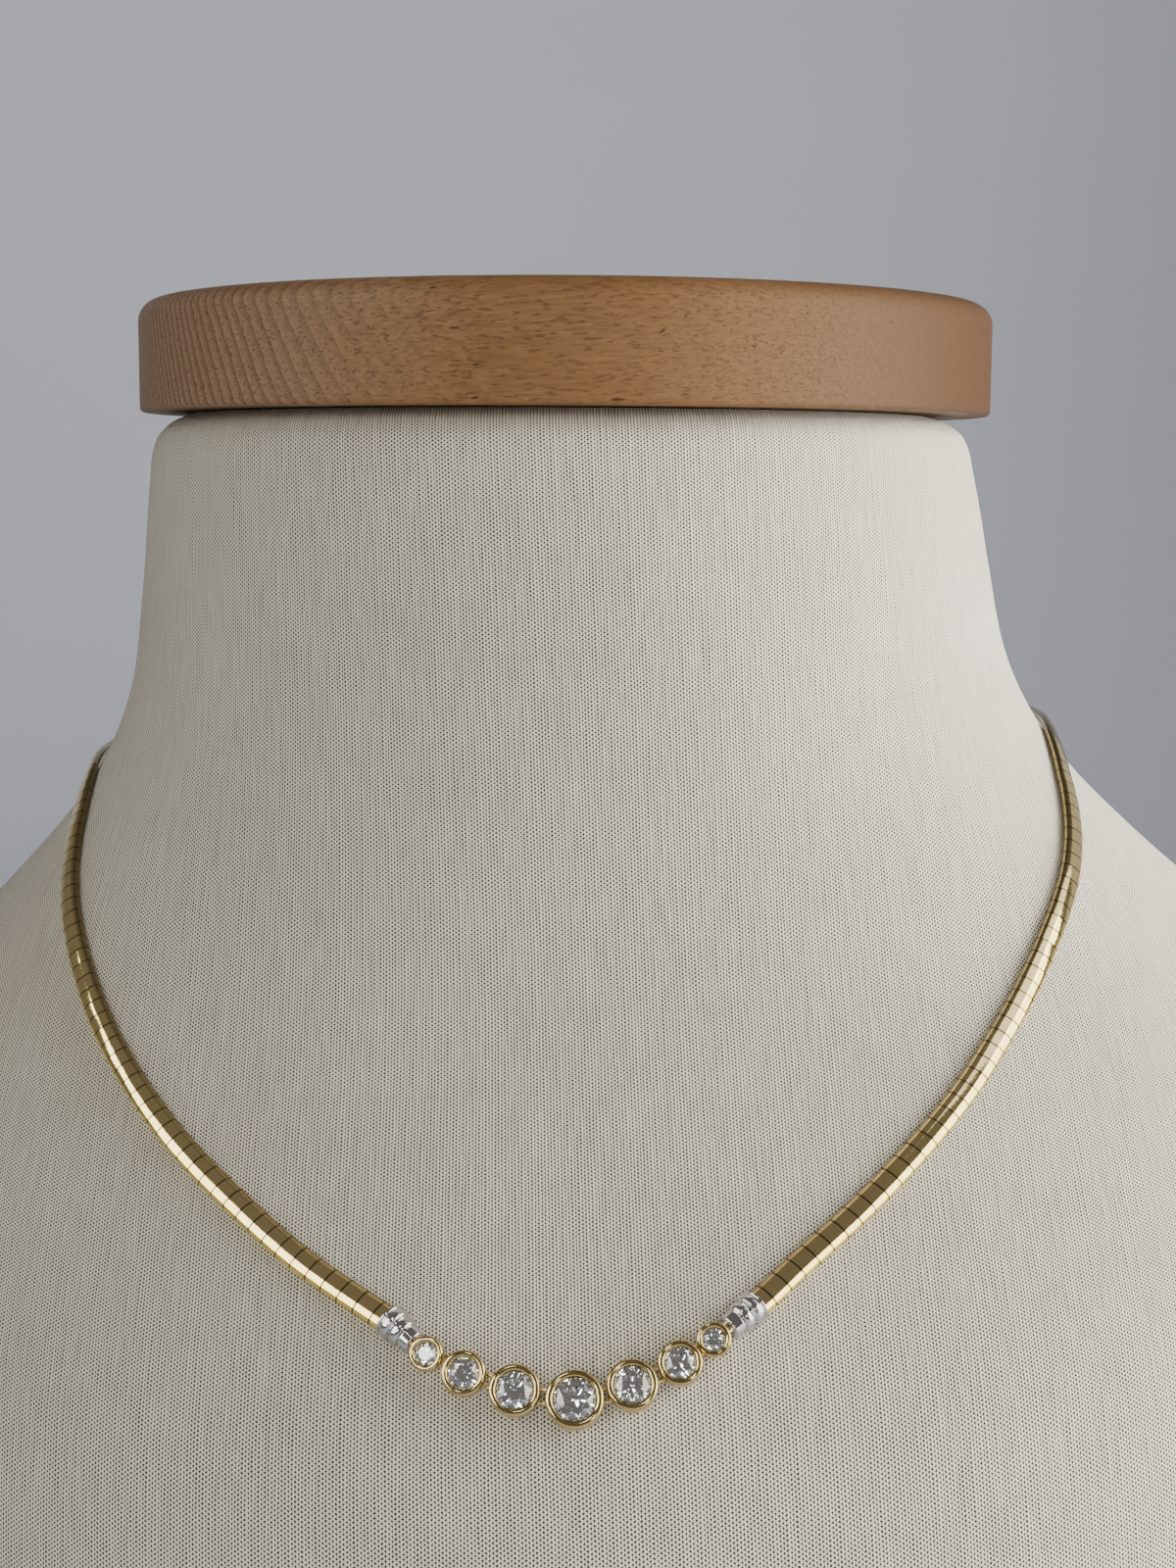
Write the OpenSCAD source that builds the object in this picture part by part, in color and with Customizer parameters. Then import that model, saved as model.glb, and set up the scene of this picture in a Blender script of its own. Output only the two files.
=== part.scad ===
// Omega necklace with seven bezel-set round stones, worn on a neck bust with a turned wooden cap.
// The bust stands on z = 0 and faces -Y. Left and right are as seen from the front, right being +X.

/* [Neck bust] */
// Half width of the neck just under its rounded top edge
neck_r = 52; // [48:0.5:56]
// Height of the neck's top above the base
stand_h = 150; // [138:1:170]

/* [Wooden cap] */
// Radius of the cap
cap_r = 54; // [52:0.5:60]
// Thickness of the cap
cap_t = 13.7; // [8:0.1:20]
// Radius of the cap's top edge
cap_top_edge = 2.6; // [0.5:0.1:4]
// Radius of the cap's bottom edge
cap_low_edge = 0.6; // [0.2:0.1:1.5]
// Lean of the cap and of the neck's top, down on the right
cap_tilt = 2.4; // [0:0.1:3]
// How far the cap's centre sits to the right
cap_shift = 0.8; // [0:0.1:2]
// Gap between the cap and the neck's top
cap_gap = 0.1; // [0.05:0.05:0.3]

/* [Omega chain] */
// Width of the plates
plate_w = 2.8; // [2.4:0.05:3.2]
// Height of the plates from the lips to the crown
plate_h = 1.1; // [1:0.05:1.5]
// Thickness of the plates' metal
plate_wall = 0.2; // [0.15:0.01:0.22]
// Distance from one plate to the next along the chain
plate_pitch = 2.19; // [1.8:0.01:2.6]
// Gap between two plates
plate_gap = 0.2; // [0.15:0.01:0.4]
// Thickness of the flat core
core_t = 0.35; // [0.2:0.01:0.4]
// Gap between the core and the plates around it
core_gap = 0.1; // [0.1:0.01:0.14]
// Gap between the chain's underside and the bust
skin_gap = 0.25; // [0.2:0.01:0.4]

/* [Stones and bezels] */
// Outside diameters of the bezels, from the middle one outwards
bezel_d = [5.6, 4.95, 4.35, 3.4];
// Diameters of the stones that show inside the rims, from the middle one outwards
stone_d = [4, 3.5, 2.95, 2.15];
// Gap between neighbouring bezels
bezel_gap = 0.45; // [0.4:0.05:0.8]
// How far the rim folds over the edge of a stone
rim_grip = 0.12; // [0.08:0.01:0.16]
// Gap between a stone and its setting
stone_gap = 0.05; // [0.03:0.01:0.06]
// How far the middle stone hangs to the left of the bust's middle line
hang_shift = 1; // [0:0.1:3]

/* [Links] */
// Diameter of the links' wire
wire_d = 0.36; // [0.3:0.01:0.4]
// Gap around a link in its holes
link_gap = 0.1; // [0.08:0.01:0.12]

/* [End caps] */
// Length of an end cap
end_cap_l = 3.9; // [3.4:0.1:4.6]
// Gap between an end cap and the outer bezel
end_cap_gap = 0.4; // [0.3:0.05:0.6]
// Thickness of the end caps' walls
end_cap_wall = 0.26; // [0.2:0.01:0.35]
// How far the chain goes into the end caps and the clasp
chain_entry = 0.8; // [0.5:0.1:1]
// Height of the ribs over the end cap's shell
rib_h = 0.18; // [0.08:0.01:0.25]

/* [Clasp] */
// Length of the clasp barrel at the nape
clasp_l = 10; // [8:0.5:12]
// Thickness of the clasp's walls
clasp_wall = 0.45; // [0.4:0.05:0.7]

/* [Hidden] */
$fn = 48;
OVER = 1;
STONES = 7;
MIDDLE = 3;

// Sections of the neck and shoulders as shares of neck_r, from the neck's top down:
// drop below the top, half width, depth in front of the axis, depth behind it
NECK_ROWS = [
    [0.00, 0.90, 0.89, 0.89],
    [0.02, 0.95, 0.94, 0.94],
    [0.06, 0.99, 0.98, 0.98],
    [0.15, 1.01, 0.99, 1.00],
    [0.40, 1.045, 1.01, 1.03],
    [0.60, 1.08, 1.02, 1.07],
    [0.75, 1.14, 1.03, 1.12],
    [0.90, 1.24, 1.045, 1.18],
    [1.05, 1.38, 1.08, 1.26],
    [1.20, 1.54, 1.145, 1.34],
    [1.35, 1.73, 1.26, 1.41],
    [1.50, 1.90, 1.42, 1.48],
    [1.65, 2.02, 1.59, 1.52],
    [1.80, 2.09, 1.765, 1.55],
    [1.92, 2.12, 1.865, 1.57]
];
// Sections of the foot below the last neck row, down to the base:
// share of the height that is left, then half width, front and back as shares of that row
FOOT_ROWS = [
    [0.22, 1.015, 1.045, 1.01],
    [0.55, 1.02, 1.075, 1.02],
    [0.92, 1.005, 1.065, 1.005],
    [1.00, 0.985, 1.045, 0.985]
];
// Outline of the hung necklace seen from above, chosen points as shares of neck_r:
// angle from the front, reach on the left, reach on the right
ROUTE_ROWS = [
    [0, 1.815, 1.815],
    [5, 1.79, 1.774],
    [10, 1.733, 1.696],
    [12, 1.697, 1.667],
    [15, 1.662, 1.622],
    [20, 1.613, 1.565],
    [26, 1.555, 1.505],
    [33, 1.500, 1.446],
    [40, 1.450, 1.393],
    [50, 1.385, 1.335],
    [60, 1.320, 1.29],
    [70, 1.24, 1.23],
    [80, 1.16, 1.16],
    [95, 1.085, 1.085],
    [120, 1.04, 1.04],
    [150, 1.03, 1.03],
    [180, 1.03, 1.03]
];
// Slope of the necklace in front and its drop at the neck's axis, the stretch beside the neck
// where that slope eases to the one behind, and how the line rises again towards the nape
ROUTE_SLOPE = 0.637;
ROUTE_DROP = 0.656 * neck_r;
EASE_FROM = -0.44 * neck_r;
EASE_TO = -0.06 * neck_r;
BACK_SLOPE = -0.12;
BACK_RISE = 0.1144 / neck_r;
// How each stone faces, left to right: turn to the right, lean downwards
FACING = [[10, 22], [8, 19], [5, 13], [3, 10], [-4, 9], [-10, 11], [-18, 15]];

// Smooth rows between given rows, first column as the position
function slope(rows, i) =
    let (hi = min(i + 1, len(rows) - 1), lo = max(i - 1, 0))
    (rows[hi] - rows[lo]) / (rows[hi][0] - rows[lo][0]);
function between(rows, i, t) =
    let (step = rows[i + 1][0] - rows[i][0])
    (1 + 2 * t) * pow(1 - t, 2) * rows[i] + t * pow(1 - t, 2) * step * slope(rows, i)
    + t * t * (3 - 2 * t) * rows[i + 1] - t * t * (1 - t) * step * slope(rows, i + 1);
function faired(rows, parts) = concat(
    [for (i = [0:len(rows) - 2], k = [0:parts - 1]) between(rows, i, k / parts)],
    [rows[len(rows) - 1]]);
function unit(v) = v / norm(v);

// The bust's levels: drop, half width, front, back in millimetres
NECK = NECK_ROWS * neck_r;
CHEST = NECK[len(NECK) - 1];
FOOT = [for (row = FOOT_ROWS) [
    CHEST[0] + row[0] * (stand_h - CHEST[0]),
    CHEST[1] * row[1],
    CHEST[2] * row[2],
    CHEST[3] * row[3]]];
LEVELS = faired(concat(NECK, FOOT), 2);
HALF_WIDTHS = [for (row = LEVELS) [row[0], row[1]]];
FRONTS = [for (row = LEVELS) [row[0], row[2]]];
BACKS = [for (row = LEVELS) [row[0], row[3]]];
// The neck's axis stands behind the middle of the base, so that the whole part is centred
AXIS_Y = (max([for (row = LEVELS) row[2]]) - max([for (row = LEVELS) row[3]])) / 2;

// How far a point lies off the bust's surface, as a share of the section there.
// Points are given from the neck's axis at the height of its top.
function off_skin(p) =
    let (depth = p.y < 0 ? lookup(-p.z, FRONTS) : lookup(-p.z, BACKS))
    norm([p.x / lookup(-p.z, HALF_WIDTHS), p.y / depth]) - 1;
PROBE = 0.04 * neck_r;
function steepest(p) = [
    off_skin(p + [PROBE, 0, 0]) - off_skin(p - [PROBE, 0, 0]),
    off_skin(p + [0, PROBE, 0]) - off_skin(p - [0, PROBE, 0]),
    off_skin(p + [0, 0, PROBE]) - off_skin(p - [0, 0, PROBE])] / (2 * PROBE);
function settled(p, tries = 4) = tries == 0 ? p :
    let (g = steepest(p)) settled(p - g * off_skin(p) / (g * g), tries - 1);
function outward(p) = unit(steepest(p));

// The line of the chain's underside, a point for each degree around the neck
ROUTE = faired(ROUTE_ROWS, 4);
LEFT_REACH = [for (row = ROUTE) [row[0], row[1] * neck_r]];
RIGHT_REACH = [for (row = ROUTE) [row[0], row[2] * neck_r]];
function hung(angle) =
    let (reach = lookup(abs(angle), angle < 0 ? LEFT_REACH : RIGHT_REACH),
         y = -reach * cos(angle),
         eased = max(0, min(y, EASE_TO) - EASE_FROM),
         behind = max(0, y - EASE_TO),
         z = -ROUTE_DROP + ROUTE_SLOPE * (y - behind)
             - (ROUTE_SLOPE - BACK_SLOPE) * eased * eased / (2 * (EASE_TO - EASE_FROM))
             + BACK_SLOPE * behind + BACK_RISE * behind * behind,
         seat = settled([reach * sin(angle), y, z]))
    seat + skin_gap * outward(seat);
LINE = [for (angle = [-180:1:180]) hung(angle)];
function stride(i) = i < len(LINE) ? norm(LINE[i] - LINE[i - 1]) : 0;
STEPS = [for (i = 1, s = 0; i <= len(LINE); s = s + stride(i), i = i + 1) s];
LOOP = STEPS[len(STEPS) - 1];
START = STEPS[180] - hang_shift;
ALONG = [for (axis = [0:2]) [for (i = [0:len(LINE) - 1]) [STEPS[i], LINE[i][axis]]]];

// A place on that line, s millimetres from the middle stone, positive to the right
function wrapped(s) = let (run = s + START) run < 0 ? run + LOOP : (run > LOOP ? run - LOOP : run);
function at(s) = [for (axis = [0:2]) lookup(wrapped(s), ALONG[axis])];
// Its axes: along the chain, across it and away from the bust
function axes(s) =
    let (along = unit(at(s + 1) - at(s - 1)), out = outward(at(s)),
         away = unit(out - (out * along) * along))
    [along, cross(away, along), away];
function matrix(a, p) = [
    [a[0].x, a[1].x, a[2].x, p.x],
    [a[0].y, a[1].y, a[2].y, p.y + AXIS_Y],
    [a[0].z, a[1].z, a[2].z, p.z + stand_h],
    [0, 0, 0, 1]];
module lay(s) multmatrix(matrix(axes(s), at(s))) children();

// Sizes of the seven settings, left to right
function size_row(i) = abs(i - MIDDLE);
function bezel_r(i) = bezel_d[size_row(i)] / 2;
function shown_r(i) = stone_d[size_row(i)] / 2;
function girdle_r(i) = shown_r(i) + rim_grip;
function bezel_h(i) = 1.6 + 0.4 * bezel_r(i);
function hollow_r(i) = 0.55 * bezel_r(i);
function foot_r(i) = 0.88 * bezel_r(i);
// Distance of a setting from the middle one along the chain
function reach_to(n) = n == 0 ? 0 :
    reach_to(n - 1) + (bezel_d[n - 1] + bezel_d[n]) / 2 + bezel_gap;
function stone_s(i) = sign(i - MIDDLE) * reach_to(size_row(i));
NOSE_S = reach_to(MIDDLE) + bezel_d[MIDDLE] / 2 + end_cap_gap;

// Plates fill the way from each end cap to the clasp
MOUTH_S = NOSE_S + end_cap_l - chain_entry;
CLASP_S = LOOP / 2 - clasp_l / 2 + chain_entry;
function run_of(side) = CLASP_S + side * hang_shift - MOUTH_S;
function count_of(side) = round(run_of(side) / plate_pitch);
function plate_s(side, k) = side * (MOUTH_S + (k + 0.5) * run_of(side) / count_of(side));
function plate_l(side) = run_of(side) / count_of(side) - plate_gap;

// Cross section of a plate: a dome with sides that fold in under the core
HALF_W = plate_w / 2;
LIP = 0.22 * plate_w;
CORE_LOW = plate_wall + core_gap;
CORE_W = 2 * (HALF_W - plate_wall - core_gap) - 0.3;
DOME = [[HALF_W * 0.88, 0], [HALF_W, 0.3 * plate_h], [HALF_W * 0.93, 0.6 * plate_h],
        [HALF_W * 0.62, 0.88 * plate_h], [HALF_W * 0.22, plate_h]];
ROOM_TOP = CORE_LOW + core_t + core_gap;
module plate_section() {
    difference() {
        polygon(concat(DOME, [for (i = [len(DOME) - 1:-1:0]) [-DOME[i].x, DOME[i].y]]));
        translate([-CORE_W / 2 - core_gap, plate_wall])
            square([CORE_W + 2 * core_gap, ROOM_TOP - plate_wall]);
        translate([-LIP, -OVER])
            square([2 * LIP, OVER + plate_wall + core_gap / 2]);
    }
}
module plates(side)
    color("gold")
        for (k = [0:count_of(side) - 1])
            lay(plate_s(side, k))
                rotate([90, 0, 90])
                    translate([0, 0, -plate_l(side) / 2])
                        linear_extrude(plate_l(side)) plate_section();

// The core: a flat ribbon from inside the end cap to inside the clasp, straight under each plate
CORE_TAIL = 0.6;
function core_ring(s) =
    let (a = axes(s), p = at(s) + [0, AXIS_Y, stand_h])
    [for (c = [[-1, 0], [1, 0], [1, 1], [-1, 1]])
        p + c[0] * CORE_W / 2 * a[1] + (CORE_LOW + c[1] * core_t) * a[2]];
module core(side) {
    seams = count_of(side);
    stops = concat(
        MOUTH_S - CORE_TAIL,
        [for (k = [0:seams]) MOUTH_S + k * run_of(side) / seams],
        MOUTH_S + run_of(side) + CORE_TAIL);
    count = len(stops) - 1;
    rings = [for (stop = stops) core_ring(side * stop)];
    points = [for (ring = rings, point = ring) point];
    walls = [for (k = [0:count - 1], c = [0:3])
        let (d = (c + 1) % 4) [4 * k + c, 4 * k + d, 4 * k + 4 + d, 4 * k + 4 + c]];
    halves = [for (w = walls, half = [[w[0], w[1], w[2]], [w[0], w[2], w[3]]])
        side > 0 ? [half[2], half[1], half[0]] : half];
    ends = side > 0 ? [[0, 1, 2, 3], [for (c = [3:-1:0]) 4 * count + c]]
                    : [[3, 2, 1, 0], [for (c = [0:3]) 4 * count + c]];
    color("goldenrod") polyhedron(points, concat(halves, ends));
}

// A cup setting: a tapered wall, a rolled rim over the stone's edge and a seat under it
CROWN = 34;
PAVILION = 41;
GIRDLE = 0.06;
function rim_round(i) = (bezel_r(i) - shown_r(i)) / 2;
function lip_z(i) = bezel_h(i) - rim_round(i);
function girdle_z(i) = lip_z(i) - rim_grip * tan(CROWN) - stone_gap / cos(CROWN);
module stone_room(i) {
    r = girdle_r(i) + stone_gap;
    z = girdle_z(i);
    seat_z = z - GIRDLE - stone_gap / cos(PAVILION);
    polygon([[0, -OVER], [hollow_r(i), -OVER],
             [hollow_r(i), seat_z - (girdle_r(i) - hollow_r(i)) * tan(PAVILION)],
             [r, seat_z + stone_gap * tan(PAVILION)],
             [r, z + stone_gap / cos(CROWN) - stone_gap * tan(CROWN)],
             [shown_r(i), lip_z(i)], [shown_r(i), bezel_h(i) + OVER], [0, bezel_h(i) + OVER]]);
}
module cup(i) {
    swell = bezel_r(i) - foot_r(i);
    rotate_extrude()
        difference() {
            union() {
                polygon(concat(
                    [[0, 0]],
                    [for (t = [0:0.25:1]) [foot_r(i) + swell * sin(90 * t), 0.68 * bezel_h(i) * t]],
                    [[bezel_r(i), lip_z(i)], [0, lip_z(i)]]));
                translate([shown_r(i) + rim_round(i), lip_z(i)])
                    circle(rim_round(i));
            }
            stone_room(i);
        }
}
// A tilted setting is lifted until its lower edge is just clear of the bust
function lift(i) =
    let (level = cos(FACING[i][0]) * cos(FACING[i][1])) 0.75 * foot_r(i) * sqrt(1 - level * level);
module in_row(i)
    lay(stone_s(i))
        translate([0, 0, lift(i)])
            rotate([FACING[i][1], FACING[i][0], 0])
                children();

// A round brilliant: table, eight stars, eight kites, sixteen upper facets, girdle and a pointed back
module brilliant(r, z) {
    table_r = 0.56 * r;
    star_r = 0.8 * r;
    function spot(radius, angle, height) = [radius * cos(angle), radius * sin(angle), height];
    points = concat(
        [for (k = [0:7]) spot(table_r, 45 * k, z + (r - table_r) * tan(CROWN))],
        [for (k = [0:7]) spot(star_r, 45 * k + 22.5, z + (r - star_r * cos(22.5)) * tan(CROWN))],
        [for (k = [0:15]) spot(r, 22.5 * k, z)],
        [for (k = [0:15]) spot(r, 22.5 * k, z - GIRDLE)],
        [[0, 0, z - GIRDLE - r * tan(PAVILION)]]);
    table_face = [for (k = [7:-1:0]) k];
    crown_faces = [for (k = [0:7])
        let (n = (k + 1) % 8, star = 8 + k, last = 8 + (k + 7) % 8,
             g = 16 + 2 * k, h = 16 + (2 * k + 2) % 16)
        each [[star, k, n], [k, star, g], [k, g, last], [star, g + 1, g], [star, h, g + 1]]];
    low_faces = [for (k = [0:15])
        let (n = (k + 1) % 16)
        each [[16 + k, 16 + n, 32 + n], [16 + k, 32 + n, 32 + k], [32 + k, 32 + n, 48]]];
    polyhedron(points, concat([table_face], crown_faces, low_faces));
}

// Links: rounded loops of wire that pass through two holes in each neighbour.
// Link j joins piece j to piece j + 1, where 0 and 8 are the end caps and 1 to 7 the settings.
LINK_Z = 0.55;
NOSE_WALL = 0.45;
NOSE_REACH = NOSE_WALL + 0.45;
function is_end(j) = j == 0 || j == STONES + 1;
function hub(j) =
    let (s = is_end(j) ? sign(j - 1) * (NOSE_S + NOSE_REACH) : stone_s(j - 1),
         rise = is_end(j) ? LINK_Z + 0.25 : LINK_Z + lift(j - 1))
    at(s) + rise * axes(s)[2];
function inset(j) = is_end(j) ? 0 : 0.45 * hollow_r(j - 1);
function leg_y(j) = 0.5 * min(is_end(j) ? hollow_r(0) : hollow_r(j - 1),
                              is_end(j + 1) ? hollow_r(0) : hollow_r(j));
function link_axes(j) =
    let (along = unit(hub(j + 1) - hub(j)),
         out = outward((hub(j) + hub(j + 1)) / 2),
         away = unit(out - (out * along) * along))
    [along, cross(away, along), away];
module at_link(j) multmatrix(matrix(link_axes(j), hub(j))) children();
function link_span(j) = norm(hub(j + 1) - hub(j));

module link(j) {
    bend = 0.6 * leg_y(j);
    low = inset(j) + bend;
    high = link_span(j) - inset(j + 1) - bend;
    flat = leg_y(j) - bend;
    line = [for (corner = [[high, flat, 0], [low, flat, 90], [low, -flat, 180], [high, -flat, 270]],
                 turn = [0:45:90])
        let (a = corner[2] + turn)
        [[corner[0] + bend * cos(a), corner[1] + bend * sin(a), 0], [cos(a), sin(a), 0]]];
    count = len(line);
    points = [for (spot = line, k = [0:5])
        spot[0] + wire_d / 2 * (cos(60 * k) * spot[1] + sin(60 * k) * [0, 0, 1])];
    faces = [for (i = [0:count - 1], k = [0:5])
        let (n = (i + 1) % count, m = (k + 1) % 6)
        each [[6 * i + k, 6 * n + m, 6 * n + k], [6 * i + k, 6 * i + m, 6 * n + m]]];
    color("gold") at_link(j) polyhedron(points, faces);
}
module link_holes(j, first)
    at_link(j)
        for (y = [-1, 1])
            translate([first ? 0 : link_span(j), y * leg_y(j), 0])
                rotate([0, first ? 90 : -90, 0])
                    cylinder(h = link_span(j), r = wire_d / 2 + link_gap);

module bezel(i)
    color("gold")
        difference() {
            in_row(i) cup(i);
            link_holes(i, false);
            link_holes(i + 1, true);
        }
module stone(i) color("lavender") in_row(i) brilliant(girdle_r(i), girdle_z(i));

// End caps and clasp: half-round barrels, flat where they lie against the bust
BARREL_Z = 0.2;
POCKET_R = norm([plate_w / 2, 0.3 * plate_h - BARREL_Z]) + core_gap;
CORE_ROOM_R = norm([CORE_W / 2, CORE_LOW + core_t - BARREL_Z]) + core_gap;
BARREL_R = POCKET_R + end_cap_wall;
module along_chain(x) translate([x, 0, BARREL_Z]) rotate([0, 90, 0]) children();
module flat_back(l) translate([-l, -2 * BARREL_R, 0]) cube([2 * l, 4 * BARREL_R, 3 * BARREL_R]);
// Room for the chain's end, opening at x = 0 towards +x: plates first, then the core alone
module chain_room(depth) {
    along_chain(-chain_entry - 0.15)
        cylinder(h = chain_entry + 0.15 + OVER, r = POCKET_R);
    intersection() {
        along_chain(-depth)
            cylinder(h = depth + OVER, r = CORE_ROOM_R);
        translate([-depth - OVER, -BARREL_R, CORE_LOW - core_gap])
            cube([depth + 2 * OVER, 2 * BARREL_R, 2 * BARREL_R]);
    }
}
module end_cap_shell() {
    shell_r = CORE_ROOM_R + end_cap_wall + 0.02;
    ring_l = chain_entry + 0.25;
    ribs_l = 0.5 * (end_cap_l - ring_l);
    nose_l = end_cap_l - ring_l - ribs_l;
    intersection() {
        union() {
            along_chain(0) cylinder(h = nose_l, r1 = 0.9 * shell_r, r2 = shell_r);
            along_chain(nose_l) cylinder(h = ribs_l, r = shell_r);
            along_chain(nose_l + ribs_l) cylinder(h = ring_l, r = BARREL_R);
            for (k = [0:1])
                along_chain(nose_l + (k + 0.5) * ribs_l / 2)
                    rotate_extrude()
                        translate([shell_r, 0])
                            circle(rib_h);
        }
        flat_back(2 * end_cap_l);
    }
}
module end_cap(side)
    color("silver")
        difference() {
            lay(side * (NOSE_S + end_cap_l / 2))
                mirror([side < 0 ? 1 : 0, 0, 0])
                    translate([-end_cap_l / 2, 0, 0]) end_cap_shell();
            lay(side * (NOSE_S + end_cap_l))
                mirror([side < 0 ? 1 : 0, 0, 0])
                    chain_room(end_cap_l - NOSE_WALL);
            if (side < 0) link_holes(0, true);
            else link_holes(STONES, false);
        }
NAPE_S = LOOP / 2 + hang_shift;
module clasp()
    color("gold")
        difference() {
            lay(NAPE_S)
                intersection() {
                    along_chain(-clasp_l / 2)
                        cylinder(h = clasp_l, r = POCKET_R + clasp_wall);
                    flat_back(clasp_l);
                }
            for (side = [-1, 1])
                lay(NAPE_S + side * clasp_l / 2)
                    mirror([side < 0 ? 1 : 0, 0, 0])
                        chain_room(chain_entry + 0.9);
        }

// The bust as one closed skin of rings, its top ring leaning with the cap
SIDES = 60;
function top_lean(row, x) = -tan(cap_tilt) * x * max(0, 1 - row[0] / (0.3 * neck_r));
function ring(row) = [for (k = [0:SIDES - 1])
    let (x = row[1] * cos(360 * k / SIDES), turn = sin(360 * k / SIDES))
    [x, AXIS_Y + turn * (turn < 0 ? row[2] : row[3]), stand_h - row[0] + top_lean(row, x)]];
module neck_bust() {
    last = len(LEVELS) - 1;
    points = [for (row = LEVELS) each ring(row)];
    walls = [for (i = [0:last - 1], k = [0:SIDES - 1])
        let (n = (k + 1) % SIDES, a = i * SIDES, b = a + SIDES)
        each [[a + k, a + n, b + n], [a + k, b + n, b + k]]];
    top = [for (k = [SIDES - 1:-1:0]) k];
    base = [for (k = [0:SIDES - 1]) last * SIDES + k];
    color("ivory") polyhedron(points, concat(walls, [top, base]));
}
module cap_section()
    intersection() {
        union() {
            translate([cap_r - cap_top_edge, cap_t - cap_top_edge]) circle(cap_top_edge);
            translate([cap_r - cap_low_edge, cap_low_edge]) circle(cap_low_edge);
            square([cap_r - cap_top_edge, cap_t]);
            translate([0, cap_low_edge]) square([cap_r, cap_t - cap_top_edge - cap_low_edge]);
            square([cap_r - cap_low_edge, cap_t - cap_top_edge]);
        }
        square([cap_r, cap_t]);
    }
module neck_cap()
    color("burlywood")
        translate([0, AXIS_Y, stand_h])
            rotate([0, cap_tilt, 0])
                translate([cap_shift, 0, cap_gap])
                    rotate_extrude($fn = 96) cap_section();

neck_bust();
neck_cap();
plates(-1);  // plates_left
plates(1);  // plates_right
core(-1);  // core_left
core(1);  // core_right
end_cap(-1);  // end_cap_left
end_cap(1);  // end_cap_right
clasp();
bezel(0);  // bezel_1
bezel(1);  // bezel_2
bezel(2);  // bezel_3
bezel(3);  // bezel_4
bezel(4);  // bezel_5
bezel(5);  // bezel_6
bezel(6);  // bezel_7
stone(0);  // stone_1
stone(1);  // stone_2
stone(2);  // stone_3
stone(3);  // stone_4
stone(4);  // stone_5
stone(5);  // stone_6
stone(6);  // stone_7
link(0);  // link_1
link(1);  // link_2
link(2);  // link_3
link(3);  // link_4
link(4);  // link_5
link(5);  // link_6
link(6);  // link_7
link(7);  // link_8
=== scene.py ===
import math

import bpy
import numpy as np
from mathutils import Matrix


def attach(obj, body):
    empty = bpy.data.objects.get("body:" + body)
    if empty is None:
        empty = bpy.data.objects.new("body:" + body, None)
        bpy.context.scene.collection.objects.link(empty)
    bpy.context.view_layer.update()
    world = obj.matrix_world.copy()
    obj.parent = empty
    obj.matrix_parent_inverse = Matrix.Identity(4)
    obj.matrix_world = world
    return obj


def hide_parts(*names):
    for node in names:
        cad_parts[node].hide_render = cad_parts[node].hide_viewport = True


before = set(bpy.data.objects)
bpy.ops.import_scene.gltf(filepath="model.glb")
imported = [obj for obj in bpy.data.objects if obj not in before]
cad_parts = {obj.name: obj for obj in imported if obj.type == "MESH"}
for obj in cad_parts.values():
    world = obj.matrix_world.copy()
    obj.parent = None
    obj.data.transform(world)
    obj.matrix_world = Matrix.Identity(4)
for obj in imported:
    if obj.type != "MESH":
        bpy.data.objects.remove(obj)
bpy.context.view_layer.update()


# The neck form. A foam neck and shoulders with a flat base, covered in ivory jersey that is
# knitted in fine upright wales. The jersey is drawn over the neck's top edge, under the cap,
# and under the edge of the base.
NECK_R = 0.052
STAND_H = 0.150
# Drop below the neck's top, half width, depth in front of the axis and behind it, by NECK_R
NECK_ROWS = NECK_R * np.array([
    [0.00, 0.90, 0.89, 0.89],
    [0.02, 0.95, 0.94, 0.94],
    [0.06, 0.99, 0.98, 0.98],
    [0.15, 1.01, 0.99, 1.00],
    [0.40, 1.045, 1.01, 1.03],
    [0.60, 1.08, 1.02, 1.07],
    [0.75, 1.14, 1.03, 1.12],
    [0.90, 1.24, 1.045, 1.18],
    [1.05, 1.38, 1.08, 1.26],
    [1.20, 1.54, 1.145, 1.34],
    [1.35, 1.73, 1.26, 1.41],
    [1.50, 1.90, 1.42, 1.48],
    [1.65, 2.02, 1.59, 1.52],
    [1.80, 2.09, 1.765, 1.55],
    [1.92, 2.12, 1.865, 1.57],
])
# Share of the height left below those rows, then half width, front and back by the last row
FOOT_ROWS = np.array([
    [0.22, 1.015, 1.045, 1.01],
    [0.55, 1.02, 1.075, 1.02],
    [0.92, 1.005, 1.065, 1.005],
    [1.00, 0.985, 1.045, 0.985],
])
CAP_TILT = math.radians(2.4)
# The top rows lean with the cap, and the lean fades out at this drop
LEAN_FADE = 0.3 * NECK_R
# Points around the form, and sections between two given rows
FORM_SIDES = 288
FORM_PARTS = 9
# Distance between wales and between rows of stitches, in millimetres like the knit's UV map
WALE = 0.34
COURSE = 0.45
SHARP_TURN = math.radians(50)


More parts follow.
